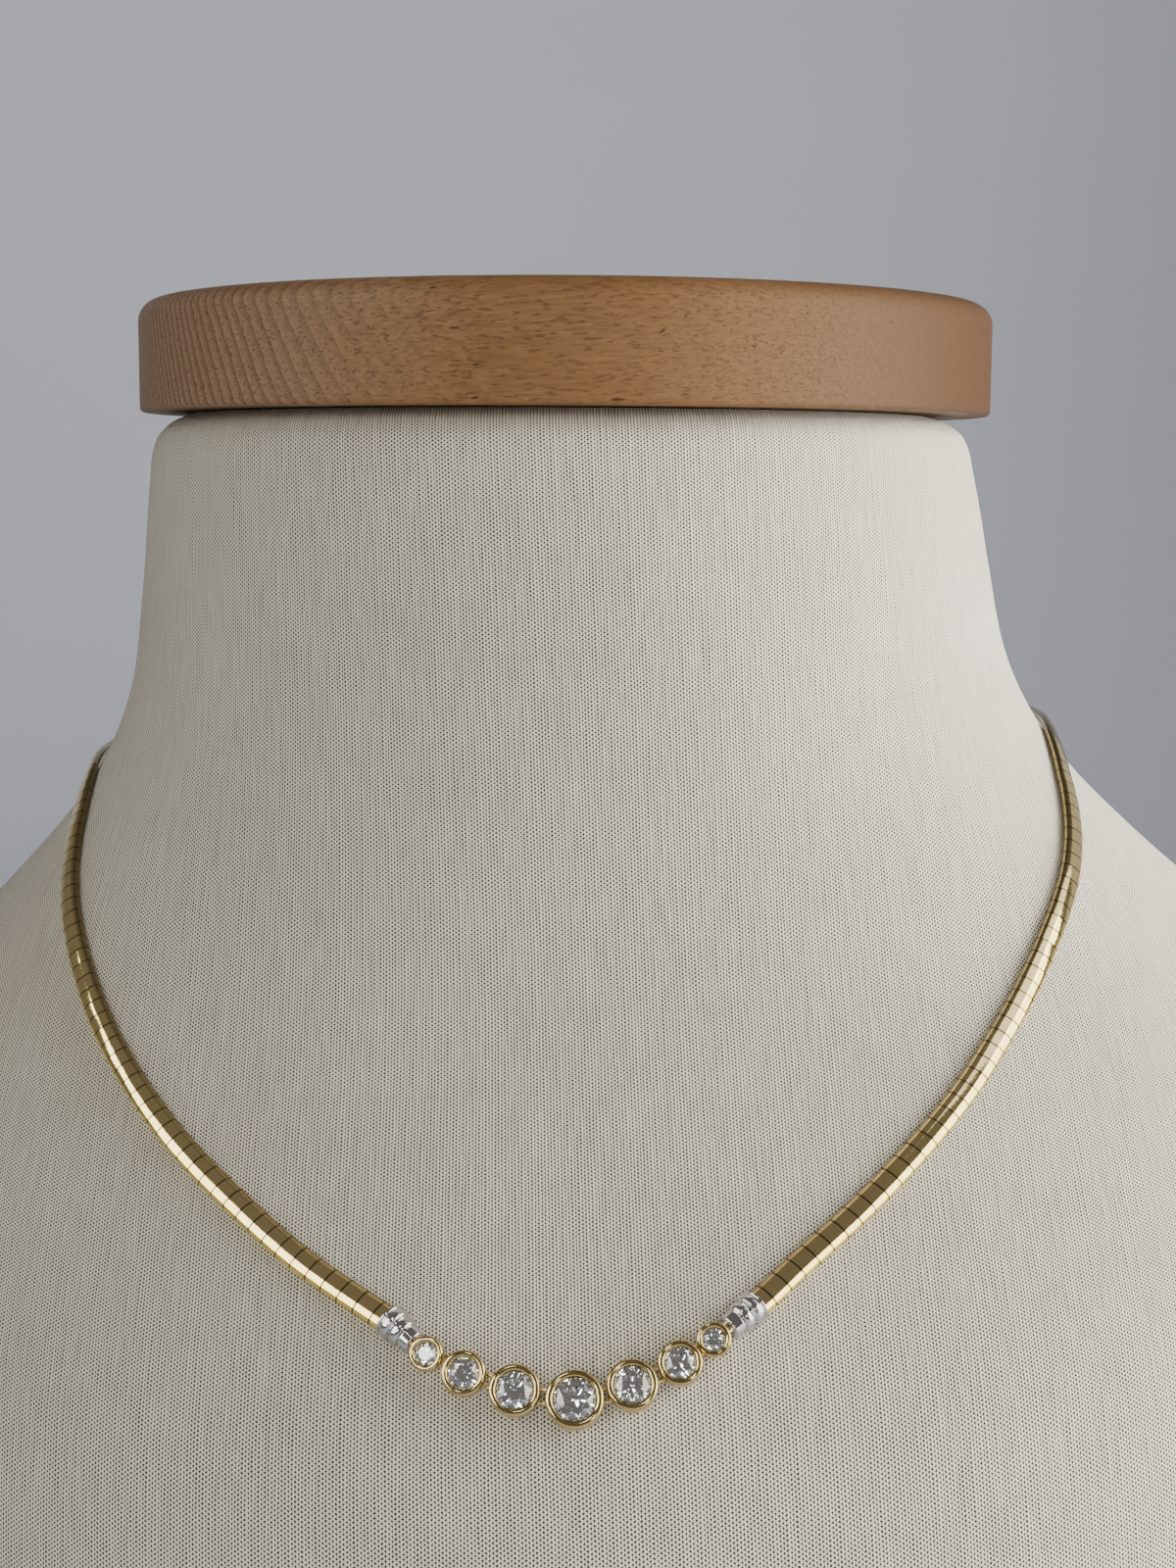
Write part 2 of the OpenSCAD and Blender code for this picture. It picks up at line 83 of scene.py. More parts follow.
def faired(rows, parts):
    """Smooth rows between given rows: a cubic from each row to the next, whose slope at a row is
    that of the line between the row's two neighbours."""
    rows = np.asarray(rows, float)
    n = np.arange(len(rows))
    ahead, behind = np.minimum(n + 1, n[-1]), np.maximum(n - 1, 0)
    slope = (rows[ahead] - rows[behind]) / (rows[ahead, :1] - rows[behind, :1])
    i = np.repeat(n[:-1], parts)
    t = np.tile(np.arange(parts) / parts, n[-1])[:, None]
    step = rows[i + 1, :1] - rows[i, :1]
    inner = ((1 + 2 * t) * (1 - t) ** 2 * rows[i] + t * (1 - t) ** 2 * step * slope[i]
             + t * t * (3 - 2 * t) * rows[i + 1] - t * t * (1 - t) * step * slope[i + 1])
    return np.vstack([inner, rows[-1:]])


def new_piece(name, points, faces, finish, smooth=True):
    """A mesh object of the points and faces, with its finish, at the origin."""
    mesh = bpy.data.meshes.new(name)
    mesh.from_pydata(points, [], faces)
    mesh.polygons.foreach_set("use_smooth", np.full(len(mesh.polygons), smooth))
    mesh.materials.append(finish)
    made = bpy.data.objects.new(name, mesh)
    bpy.context.collection.objects.link(made)
    return made


def closed_bodies(name, rings, finish, ring_uv=None, looped=False, ends=None):
    """A mesh of closed bodies. rings holds, for each body, a stack of closed rings of points.
    Walls join each ring to the next. The end rings are filled from their middle or, on a looped
    body, joined to each other. Bodies whose signed volume is negative are turned outwards.
    ring_uv is the name of a UV map and its values on one body's rings, each ring's first point
    again at its end. The fills take the finish ends, if it is given. Edges that turn by
    SHARP_TURN or more are sharp."""
    rings = np.asarray(rings, float)
    count, stack, sides = rings.shape[:3]
    r, c = np.indices((stack if looped else stack - 1, sides)).reshape(2, -1)
    n, s = (c + 1) % sides, (r + 1) % stack
    walls = np.column_stack([r * sides + c, r * sides + n, s * sides + n, s * sides + c])
    wall_uv = np.stack([[r, r, r + 1, r + 1], [c, c + 1, c + 1, c]], -1).swapaxes(0, 1)
    points, k = rings.reshape(count, -1, 3), np.arange(0 if looped else sides)
    if not looped:
        points = np.concatenate([points, rings[:, [0, -1]].mean(2)], 1)
    last, pole, none = (stack - 1) * sides, np.full(len(k), stack * sides), np.zeros(len(k), int)
    fans = np.vstack([np.column_stack([(k + 1) % sides, k, pole]),
                      np.column_stack([last + k, last + (k + 1) % sides, pole + 1])])
    fan_uv = np.vstack([np.stack([[none, none, none], [k + 1, k, k]], -1).swapaxes(0, 1),
                        np.stack([[none + stack - 1] * 3, [k, k + 1, k]], -1).swapaxes(0, 1)])
    a, b, c, d = (points[:, walls[:, j]] for j in range(4))
    e, f, g = (points[:, fans[:, j]] for j in range(3))
    volume = ((a * np.cross(b, c)).sum((1, 2)) + (a * np.cross(c, d)).sum((1, 2))
              + (e * np.cross(f, g)).sum((1, 2)))
    faces = []
    for body in range(count):
        turn = -1 if volume[body] < 0 else 1
        offset = body * points.shape[1]
        faces += (walls[:, ::turn] + offset).tolist() + (fans[:, ::turn] + offset).tolist()
    made = new_piece(name, points.reshape(-1, 3), faces, finish)
    made.data.set_sharp_from_angle(angle=SHARP_TURN)
    if ends:
        made.data.materials.append(ends)
        filled = np.tile(np.arange(len(walls) + len(fans)) >= len(walls), count)
        made.data.polygons.foreach_set("material_index", filled.astype(np.int32))
    if ring_uv is not None:
        turn = -1 if volume[0] < 0 else 1
        spots = np.concatenate([part[:, ::turn].reshape(-1, 2) for part in (wall_uv, fan_uv)])
        layer = made.data.uv_layers.new(name=ring_uv[0])
        uv = ring_uv[1][spots[:, 0], spots[:, 1]].astype(np.float32)
        layer.data.foreach_set("uv", np.tile(uv, (count, 1)).ravel())
    return made


class Signal:
    """An output of a material's nodes. Operators on it add Math nodes, and node() any other."""

    def __init__(self, tree, output=None):
        self.tree, self.output = tree, output

    def node(self, kind, settings, values, output=0):
        """Adds a node, sets its settings, sets or links its sockets, and gives an output."""
        made = self.tree.nodes.new(kind)
        for key, value in settings.items():
            setattr(made, key, value)
        for key, value in values.items():
            if isinstance(value, Signal):
                self.tree.links.new(value.output, made.inputs[key])
            else:
                made.inputs[key].default_value = value
        return Signal(self.tree, made.outputs[output])

    def math(self, operation, *others):
        """One Math node on this signal and any others."""
        sockets = dict(enumerate((self, *others)))
        return self.node("ShaderNodeMath", {"operation": operation}, sockets)

    def mixed(self, low, high):
        """low where this signal is 0, high where it is 1; both are colours."""
        return self.node("ShaderNodeMix", {"data_type": "RGBA"}, {0: self, 6: low, 7: high}, 2)

    def ranged(self, low, high, to_low=0.0, to_high=1.0):
        """This signal's stretch from low to high, laid over to_low to to_high and cut off there."""
        sockets = {0: self, 1: low, 2: high, 3: to_low, 4: to_high}
        return self.node("ShaderNodeMapRange", {}, sockets)

    def __add__(self, other):
        return self.math("ADD", other)

    def __sub__(self, other):
        return self.math("SUBTRACT", other)

    def __rsub__(self, other):
        return (self * -1.0) + other

    def __mul__(self, other):
        return self.math("MULTIPLY", other)

    def __pow__(self, other):
        return self.math("POWER", other)

    __radd__, __rmul__ = __add__, __mul__


def new_finish(name, **constants):
    """A material of one Principled shader with these constants, and the signal to start from."""
    made = bpy.data.materials.new(name)
    made.use_nodes = True
    shader = made.node_tree.nodes["Principled BSDF"]
    for key, value in constants.items():
        shader.inputs[key.replace("_", " ").title().replace("Ior", "IOR")].default_value = value
    return made, shader, Signal(made.node_tree)


def feed(shader, **signals):
    """Links each signal to the shader's socket of that name."""
    for key, signal in signals.items():
        signal.tree.links.new(signal.output, shader.inputs[key.replace("_", " ").title()])


def linear(*colour):
    """A colour from 0 to 255 as a screen shows it, in the linear values that shaders take."""
    c = np.array(colour) / 255
    return (*np.where(c > 0.04045, ((c + 0.055) / 1.055) ** 2.4, c / 12.92).tolist(), 1)


# Wales are ribs that sway with each stitch. A pit lies where two stitches meet, in turn on the
# left and on the right of a wale. Grooves and pits are darkened with painted shade, which
# streaks along the wales with the yarn.
jersey, jersey_shader, start = new_finish(
    "ivory_jersey", roughness=0.9, specular_ior_level=0.2, sheen_weight=0.15, sheen_roughness=0.5)
knit = start.node("ShaderNodeUVMap", {"uv_map": "knit"}, {})
around, down = (start.node("ShaderNodeSeparateXYZ", {}, {0: knit}, j) for j in (0, 1))
streaks = start.node("ShaderNodeTexNoise", {"noise_dimensions": "2D"}, {
    "Vector": start.node("ShaderNodeMapping", {}, {0: knit, 3: (2.2, 0.15, 1)}),
    "Scale": 1.0, "Detail": 3.0})
clouds = start.node("ShaderNodeTexNoise", {"noise_dimensions": "2D"},
                    {"Vector": knit, "Scale": 0.05, "Detail": 2.0})
course_turn = down * (2 * math.pi / COURSE)
sway = course_turn.math("SINE") * (0.08 * WALE) + (streaks - 0.5) * (0.5 * WALE)
wale_turn = (around + sway) * (math.pi / WALE)
rib = wale_turn.math("COSINE").math("ABSOLUTE")
swing = wale_turn.math("SINE")
pit = (swing * swing * swing * course_turn.math("COSINE")).ranged(-0.1, 0.6)
# Painted shade: dark in the grooves between wales and in the pits, varied along the streaks.
shade = ((1 - rib) ** 1.3 * 0.5 + pit * 1.35) * (streaks * 0.9 + 0.55)
yarn = clouds.ranged(0.3, 0.7).mixed(linear(243, 234, 211), linear(249, 241, 220))
feed(jersey_shader, base_color=shade.ranged(0.0, 1.0).mixed(yarn, linear(46, 37, 29)),
     normal=start.node("ShaderNodeBump", {}, {"Strength": 0.6, "Distance": 0.0001,
                                              "Height": rib - pit * 0.8}))

form_rows = np.vstack([NECK_ROWS, np.column_stack([
    NECK_ROWS[-1, 0] + FOOT_ROWS[:, 0] * (STAND_H - NECK_ROWS[-1, 0]),
    NECK_ROWS[-1, 1:] * FOOT_ROWS[:, 1:]])])
levels = faired(form_rows, 2)
AXIS_Y = (levels[:, 2].max() - levels[:, 3].max()) / 2


def form_rings(rows, sides):
    """Rings of the form from the middle of its back around: half an ellipse in front of the axis
    and half behind it at each row's height, the top rows leaning with the cap."""
    turn = math.pi / 2 + 2 * math.pi * np.arange(sides + 1) / sides
    drop, width, front, back = (rows[:, j, None] for j in range(4))
    x = width * np.cos(turn)
    y = AXIS_Y + np.sin(turn) * np.where(np.sin(turn) < 0, front, back)
    z = STAND_H - drop - math.tan(CAP_TILT) * x * np.maximum(0, 1 - drop / LEAN_FADE)
    return np.stack([x, y, z], -1)


# The knit's UV map: millimetres around from the middle of the front, and down along it
skin = form_rings(faired(form_rows, FORM_PARTS), FORM_SIDES)
front = FORM_SIDES // 2
run = np.linalg.norm(np.diff(skin, axis=1), axis=2).cumsum(1)
run = np.concatenate([np.zeros_like(run[:, :1]), run], 1)
fall = np.linalg.norm(np.diff(skin[:, front], axis=0), axis=1).cumsum()
skin_uv = 1000 * np.stack([run - run[:, front:front + 1],
                           np.broadcast_to(np.append(0, fall)[:, None], run.shape)], -1)
neck_form = closed_bodies("neck_form", skin[None, :, :-1], jersey, ("knit", skin_uv))
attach(neck_form, "root")
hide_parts("neck_bust")


# The cap on the neck: a disc turned from light maple with its grain running from side to side,
# its top edge rounded over and its lower edge eased, oiled to a soft sheen.
CAP_R = 0.054
CAP_T = 0.0137
CAP_TOP_EDGE = 0.0026
CAP_LOW_EDGE = 0.0006
CAP_SHIFT = 0.0008
CAP_GAP = 0.0001
# The middle line of the tree's growth rings, which runs from side to side, and rings in a metre
PITH_Y = 0.22
PITH_Z = 0.08
RINGS = 900.0

maple, maple_shader, start = new_finish("oiled_maple", specular_ior_level=0.14)
place = start.node("ShaderNodeTexCoord", {}, {}, 3)
side_on, deep, high = (start.node("ShaderNodeSeparateXYZ", {}, {0: place}, j) for j in range(3))


def grain(x, across, detail=2.0):
    """Noise in the maple at this many features a metre along the grain and across it."""
    return start.node("ShaderNodeTexNoise", {}, {
        "Vector": start.node("ShaderNodeMapping", {}, {0: place, 3: (x, across, across)}),
        "Scale": 1.0, "Detail": detail})


# Rings show where they are cut through, near the left end, and hardly at all in front. Pores and a
# few dark streaks lie along the grain. The colour darkens to the right, partly the wood's own tone
# and partly painted shade, and the left end is lightened with painted light.
deep, high = deep - PITH_Y, high - PITH_Z
ring = (deep * deep + high * high).math("SQRT") * RINGS + grain(9, 60) * 1.6
cut_through = side_on.ranged(-0.016, -0.034) * 0.7 + side_on.ranged(0.03, 0.05) * 0.2 + 0.08
late = ring.math("FRACT") ** 2.0 * cut_through
pore = grain(700, 3600, 1.0).ranged(0.55, 0.68)
streak = grain(210, 2400, 0.0).ranged(0.80, 0.84)
fibre = grain(120, 2600, 4.0).ranged(0.35, 0.7)
tone = grain(18, 40).ranged(0.3, 0.7)
wood = tone.mixed(fibre.mixed(linear(147, 114, 81), linear(123, 93, 65)),
                  fibre.mixed(linear(140, 102, 62), linear(117, 82, 47)))
# Darker towards the right, partly tone and partly painted shade; darker still at the right end,
# painted shade; lighter at the left end, painted light.
wood = (side_on.ranged(-0.03, 0.05) * 0.9).mixed(wood, linear(94, 67, 42))
wood = side_on.ranged(0.02, 0.055).mixed(wood, linear(58, 38, 22))
wood = (side_on.ranged(-0.01, -0.045) * 0.6).mixed(wood, linear(166, 136, 108))
wood = late.mixed(wood, linear(80, 56, 38))
wood = (pore * 0.6).mixed(wood, linear(80, 54, 34))
wood = (streak * 0.9).mixed(wood, linear(64, 40, 26))
feed(maple_shader, base_color=wood, roughness=fibre * 0.12 + 0.46,
     normal=start.node("ShaderNodeBump", {}, {"Strength": 0.3, "Distance": 0.0001,
                                              "Height": fibre * 0.5 - pore - streak}))


def corner(x, z, radius, start_angle, end_angle, steps):
    """Points of a quarter round about (x, z)."""
    a = np.radians(np.linspace(start_angle, end_angle, steps))
    return np.column_stack([x + radius * np.cos(a), z + radius * np.sin(a)])


def turned(profile, sides):
    """A profile of radius and height carried around the upright axis: a ring for each point."""
    turn = 2 * math.pi * np.arange(sides) / sides
    return np.stack([profile[:, :1] * np.cos(turn), profile[:, :1] * np.sin(turn),
                     np.broadcast_to(profile[:, 1:], (len(profile), sides))], -1)


edge = np.vstack([
    [[0.2 * CAP_R, 0], [0.6 * CAP_R, 0], [CAP_R - 3 * CAP_LOW_EDGE, 0]],
    corner(CAP_R - CAP_LOW_EDGE, CAP_LOW_EDGE, CAP_LOW_EDGE, -90, 0, 8),
    [[CAP_R, 2 * CAP_LOW_EDGE], [CAP_R, CAP_T - 1.3 * CAP_TOP_EDGE]],
    corner(CAP_R - CAP_TOP_EDGE, CAP_T - CAP_TOP_EDGE, CAP_TOP_EDGE, 0, 90, 16),
    [[CAP_R - 1.5 * CAP_TOP_EDGE, CAP_T], [0.6 * CAP_R, CAP_T], [0.2 * CAP_R, CAP_T]]])
disc = turned(edge, 192) + (CAP_SHIFT, 0, CAP_GAP)
lean = np.array([[math.cos(CAP_TILT), 0, -math.sin(CAP_TILT)], [0, 1, 0],
                 [math.sin(CAP_TILT), 0, math.cos(CAP_TILT)]])
neck_top = closed_bodies("maple_cap", (disc @ lean + (0, AXIS_Y, STAND_H))[None], maple)
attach(neck_top, "root")
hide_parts("neck_cap")


# The omega chain: domed plates of polished yellow gold, folded one after another around a flat
# woven core, so that the chain bends sideways on the form but keeps its curve. Each plate sits
# a little differently from the next, which breaks up the reflections.
PLATE_W = 0.0028
PLATE_H = 0.0011
PLATE_PITCH = 0.00219
SEAM = 0.0001
SKIN_GAP = 0.00025
HANG_SHIFT = 0.001
BEZEL_D = np.array([5.6, 4.95, 4.35, 3.4]) / 1000
BEZEL_GAP = 0.00045
END_CAP_L = 0.0039
END_CAP_GAP = 0.0004
CHAIN_ENTRY = 0.0008
CLASP_L = 0.010
# Half of a plate's outline from its lower edge to its crown, by its half width and its height
HALF_DOME = [[0.88, 0], [1, 0.3], [0.95, 0.57], [0.79, 0.78], [0.5, 0.94], [0.17, 1]]
# Where the sections of a plate lie along it, and how far the plates are off, in degrees of roll,
# pitch and yaw
STATIONS = np.array([-0.5, -0.17, 0.17, 0.5])
WOBBLE = [[[[0.6]]], [[[0.3]]], [[[0.15]]]]
# Angle from the front, reach from the neck's axis on the left and on the right, by NECK_R
ROUTE_ROWS = np.array([
    [0, 1.815, 1.815],
    [5, 1.79, 1.774],
    [10, 1.733, 1.696],
    [12, 1.697, 1.667],
    [15, 1.662, 1.622],
    [20, 1.613, 1.565],
    [26, 1.555, 1.505],
    [33, 1.500, 1.446],
    [40, 1.450, 1.393],
    [50, 1.385, 1.335],
    [60, 1.320, 1.29],
    [70, 1.24, 1.23],
    [80, 1.16, 1.16],
    [95, 1.085, 1.085],
    [120, 1.04, 1.04],
    [150, 1.03, 1.03],
    [180, 1.03, 1.03],
])
ROUTE_SLOPE = 0.637
ROUTE_DROP = 0.656 * NECK_R
EASE_FROM = -0.44 * NECK_R
EASE_TO = -0.06 * NECK_R
BACK_SLOPE = -0.12
BACK_RISE = 0.1144 / NECK_R
PROBE = 0.04 * NECK_R


def off_skin(p):
    """How far points, given from the neck's axis at its top, lie off the form, by its section."""
    width, front, back = (np.interp(-p[..., 2], levels[:, 0], levels[:, j]) for j in (1, 2, 3))
    return np.hypot(p[..., 0] / width, p[..., 1] / np.where(p[..., 1] < 0, front, back)) - 1


def steepest(p):
    """The gradient of off_skin, from its change over a short way along each axis."""
    ways = PROBE * np.eye(3)
    return np.stack([off_skin(p + way) - off_skin(p - way) for way in ways], -1) / (2 * PROBE)


def unit(v):
    """Vectors at length 1."""
    return v / np.linalg.norm(v, axis=-1, keepdims=True)


def hung(angle):
    """The chain's underside at angles from the front: a point on a sloping plane that eases level
    beside the neck and rises a little behind it, brought to the form's skin along its gradient and
    lifted by the gap."""
    route = faired(ROUTE_ROWS, 4)
    side = [np.interp(abs(angle), route[:, 0], route[:, j] * NECK_R) for j in (1, 2)]
    reach, turn = np.where(angle < 0, *side), np.radians(angle)
    y = -reach * np.cos(turn)
    eased, behind = np.clip(y, EASE_FROM, EASE_TO) - EASE_FROM, np.maximum(0, y - EASE_TO)
    z = -ROUTE_DROP + ROUTE_SLOPE * (y - behind) + BACK_SLOPE * behind + BACK_RISE * behind ** 2 \
        - (ROUTE_SLOPE - BACK_SLOPE) * eased ** 2 / (2 * (EASE_TO - EASE_FROM))
    p = np.stack([reach * np.sin(turn), y, z], -1)
    for _ in range(4):
        g = steepest(p)
        p = p - g * (off_skin(p) / (g * g).sum(-1))[..., None]
    return p + SKIN_GAP * unit(steepest(p))


line = hung(np.arange(-180.0, 181.0))
steps = np.append(0, np.linalg.norm(np.diff(line, axis=0), axis=1).cumsum())
LOOP = steps[-1]


def at(s):
    """The line's point s metres from the middle stone, to the right if positive."""
    run = np.mod(s + steps[180] - HANG_SHIFT, LOOP)
    return np.stack([np.interp(run, steps, line[:, j]) for j in range(3)], -1)


def axes(s):
    """The line's axes at s: along it, across it and away from the form."""
    along, out = unit(at(s + 0.001) - at(s - 0.001)), unit(steepest(at(s)))
    away = unit(out - (out * along).sum(-1, keepdims=True) * along)
    return np.stack([along, np.cross(away, along), away], -2)


def placed(origin, turn, local):
    """Stacks of rings given on their own axes, one body for each origin and set of axes."""
    shape = (len(origin), *local.shape[-3:])
    return np.einsum("krmi,kij->krmj", np.broadcast_to(local, shape), turn) \
        + (origin + (0, AXIS_Y, STAND_H))[:, None, None]


def gold_finish(name, bright, deep_tone, rough, edges=None, dents=0.05):
    """Polished gold: its colour shifts a little over broad patches, and fine wear spreads its
    gloss. With edges, it takes those three colours where the piece's UV map of that name is 1
    across, is -1 across and is 1 along."""
    made, shader, begin = new_finish(name, metallic=1.0)
    place = begin.node("ShaderNodeTexCoord", {}, {}, 3)
    patch = begin.node("ShaderNodeTexNoise", {}, {"Vector": place, "Scale": 420.0, "Detail": 2.0})
    wear = begin.node("ShaderNodeTexNoise", {}, {"Vector": place, "Scale": 2600.0, "Detail": 3.0})
    colour = patch.ranged(0.35, 0.65).mixed(bright, deep_tone)
    if edges:
        rim = begin.node("ShaderNodeUVMap", {"uv_map": "edges"}, {})
        across, along = (begin.node("ShaderNodeSeparateXYZ", {}, {0: rim}, j) for j in (0, 1))
        masks = across.ranged(0.0, 1.0), across.ranged(0.0, -1.0), along.ranged(0.9, 1.0)
        for mask, tone in zip(masks, edges):
            colour = mask.mixed(colour, tone)
    feed(shader, base_color=colour,
         roughness=wear.ranged(0.3, 0.7, rough, rough + 0.06),
         normal=begin.node("ShaderNodeBump", {}, {"Strength": dents, "Distance": 0.0001,
                                                  "Height": wear}))
    return made


yellow_gold = gold_finish("yellow_gold", (0.93, 0.74, 0.36, 1), (0.90, 0.71, 0.33, 1), 0.04)
# The plates' gold, with painted shade along one lower edge and at the ends, and a deeper yellow
# painted reflection along the other lower edge.
plate_gold = gold_finish("plate_gold", (0.93, 0.74, 0.36, 1), (0.90, 0.71, 0.33, 1), 0.04,
                         ((0.24, 0.19, 0.09, 1), (1, 0.80, 0.24, 1), (0.12, 0.08, 0.03, 1)))
# The cups' gold is the yellow gold made darker: painted shade.
painted_shade_cup_gold = gold_finish("painted_shade_cup_gold", (0.58, 0.45, 0.20, 1), (0.52, 0.40, 0.175, 1), 0.06, dents=0.02)
# A dark, rough gold for the woven core and the plates' end faces: painted shade in the gaps.
painted_shade_gold = gold_finish("painted_shade_gold", (0.30, 0.20, 0.08, 1), (0.22, 0.14, 0.05, 1), 0.4)

half_dome = np.array(HALF_DOME) * (PLATE_W / 2, PLATE_H)
dome = np.vstack([half_dome, half_dome[::-1] * (-1, 1)])
stone_reach = np.append(0, np.cumsum((BEZEL_D[1:] + BEZEL_D[:-1]) / 2 + BEZEL_GAP))
nose_s = stone_reach[3] + BEZEL_D[3] / 2 + END_CAP_GAP
mouth_s = nose_s + END_CAP_L - CHAIN_ENTRY
wobble = np.random.default_rng(7)


def chain_side(side):
    """The plates of one side: four sections along each plate, set on the line so that the plate
    bends with it, then rolled, pitched and turned by a few tenths of a degree."""
    run = LOOP / 2 - CLASP_L / 2 + CHAIN_ENTRY + side * HANG_SHIFT - mouth_s
    count = round(run / PLATE_PITCH)
    x = (run / count - SEAM) * STATIONS
    middle = 0.45 * PLATE_H
    roll, pitch, yaw = np.radians(wobble.normal(0, 1, (3, count, 1, 1)) * WOBBLE)
    y, z = dome[:, 0], dome[:, 1] - middle
    local = np.stack(np.broadcast_arrays(
        0, y * np.cos(roll) - z * np.sin(roll) + yaw * x[:, None],
        middle + y * np.sin(roll) + z * np.cos(roll) + pitch * x[:, None]), -1)
    s = side * (mouth_s + (np.arange(count)[:, None] + 0.5) * run / count) + x
    sections = local.reshape(-1, 1, len(dome), 3)
    return placed(at(s.ravel()), axes(s.ravel()), sections).reshape(local.shape)


# The UV map: 1 at the lower edge on one side, -1 on the other, and 1 at both ends of a plate. There
# the gold takes painted shade along the first edge, a deeper yellow along the other as a painted
# reflection, and painted shade at the ends, beside the gaps where the core shows.
low_edge = np.clip((0.94 * PLATE_H - dome[:, 1]) / (0.2 * PLATE_H), 0, 1) * np.sign(dome[:, 0])
low_edge = np.append(low_edge, low_edge[0])
edges = np.stack(np.broadcast_arrays(low_edge, np.array([1, 0, 0, 1])[:, None]), -1)
for side, word in ((-1, "left"), (1, "right")):
    plates = closed_bodies(f"omega_plates_{word}", chain_side(side), plate_gold,
                           ("edges", edges), ends=painted_shade_gold)
    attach(plates, "root")
    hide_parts(f"plates_{word}")
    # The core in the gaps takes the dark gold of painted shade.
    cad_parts[f"core_{word}"].material_slots[0].material = painted_shade_gold


# The end caps: short ribbed barrels of rhodium-plated white gold, flat where they lie against
# the form. The chain's last plate is glued into the mouth, and the nose takes the first link.
BARREL_Z = 0.0002
POCKET_R = 0.00151
POCKET_L = 0.0011
# Radii of the shell along the cap, and its ribs: from, to and height
SHELL = np.array([
    [0, 1.30], [1.1, 1.42], [1.25, 1.33], [2.42, 1.36], [2.7, 1.56], [3.9, 1.57]]) / 1000
RIBS = [[0.00128, 0.00238, 0.00030], [0.00250, 0.00354, 0.00022], [0.00364, 0.00402, 0.00015]]

white_gold, white_shader, start = new_finish("white_gold", metallic=1.0)
place = start.node("ShaderNodeTexCoord", {}, {}, 3)
wear = start.node("ShaderNodeTexNoise", {}, {"Vector": place, "Scale": 1800.0, "Detail": 3.0})
feed(white_shader, base_color=wear.mixed((0.66, 0.64, 0.67, 1), (0.58, 0.56, 0.60, 1)),
     roughness=wear.ranged(0.3, 0.7, 0.04, 0.08),
     normal=start.node("ShaderNodeBump", {}, {"Strength": 0.05, "Distance": 0.0001,
                                              "Height": wear}))


def barrel_rings(profile, sides):
    """Rings of a half-round barrel along the chain: at each distance and radius of the profile, the
    part of the circle about BARREL_Z that lies above the flat underside."""
    x, r = profile[:, :1], profile[:, 1:]
    tuck = np.arcsin(BARREL_Z / r)
    turn = -tuck + (math.pi + 2 * tuck) * np.arange(sides) / (sides - 1)
    return np.stack([np.broadcast_to(x, turn.shape), r * np.cos(turn),
                     BARREL_Z + r * np.sin(turn)], -1)


def band(x, low, high, rise):
    """A rounded rib from low to high: an arch of that rise, nothing outside it."""
    return rise * np.sqrt(np.maximum(0, 1 - ((2 * x - low - high) / (high - low)) ** 2))


x = np.linspace(0.00012, END_CAP_L, 96)
shell = np.interp(x, *SHELL.T) + sum(band(x, *rib) for rib in RIBS)
inside = [[END_CAP_L, 0.00158], [END_CAP_L - 0.00004, POCKET_R], [END_CAP_L - POCKET_L, POCKET_R]]
cap_profile = np.vstack([[[0, 0.0005], [0, 0.0012]], np.column_stack([x, shell]), inside])
for side, word in ((-1, "left"), (1, "right")):
    rings = barrel_rings(cap_profile, 48) - (END_CAP_L / 2, 0, 0)
    s = np.array([side * (nose_s + END_CAP_L / 2)])
    end_cap = closed_bodies(f"ribbed_end_cap_{word}",
                            placed(at(s), axes(s), rings * (side, 1, 1)), white_gold)
    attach(end_cap, "root")
    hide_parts(f"end_cap_{word}")


# The settings: seven cups turned from yellow gold, largest in the middle, their walls narrowing
# a little towards the form and their rims burnished over the edges of the stones.
STONE_D = np.array([4.0, 3.5, 2.95, 2.15]) / 1000
RIM_GRIP = 0.00012
STONE_GAP = 0.00005
GIRDLE = 0.00006
CROWN = math.radians(34)
PAVILION = math.radians(41)
# How high a cup's wall swells, by its height
SWELL = 0.68
# How each stone faces, left to right: turned to the right, leaned downwards, in degrees
FACING = np.radians([[10, 22], [8, 19], [5, 13], [3, 10], [-4, 9], [-10, 11], [-18, 15]])
places = np.abs(np.arange(7) - 3)
bezel_r, shown_r = BEZEL_D[places] / 2, STONE_D[places] / 2
girdle_r = shown_r + RIM_GRIP
bezel_h = 0.0016 + 0.4 * bezel_r
hollow_r, foot_r = 0.55 * bezel_r, 0.88 * bezel_r
stone_s = np.sign(np.arange(7) - 3) * stone_reach[places]
rim_r = (bezel_r - shown_r) / 2
lip_z = bezel_h - rim_r
girdle_z = lip_z - RIM_GRIP * math.tan(CROWN) - STONE_GAP / math.cos(CROWN)
lift = 0.75 * foot_r * np.sqrt(1 - np.prod(np.cos(FACING), 1) ** 2)


def in_row(local):
    """Settings and stones brought to their places in the row: leaned about the chain's direction,
    turned about the direction across it, and lifted clear of the form."""
    turn, tip = FACING.T
    zero, one = np.zeros(7), np.ones(7)
    leaned = np.stack([one, zero, zero, zero, np.cos(tip), np.sin(tip),
                       zero, -np.sin(tip), np.cos(tip)], -1).reshape(-1, 3, 3)
    turned_to = np.stack([np.cos(turn), zero, -np.sin(turn), zero, one, zero,
                          np.sin(turn), zero, np.cos(turn)], -1).reshape(-1, 3, 3)
    local = np.einsum("krmi,kij->krmj", local, leaned @ turned_to)
    local[..., 2] += lift[:, None, None]
    return placed(at(stone_s), axes(stone_s), local)


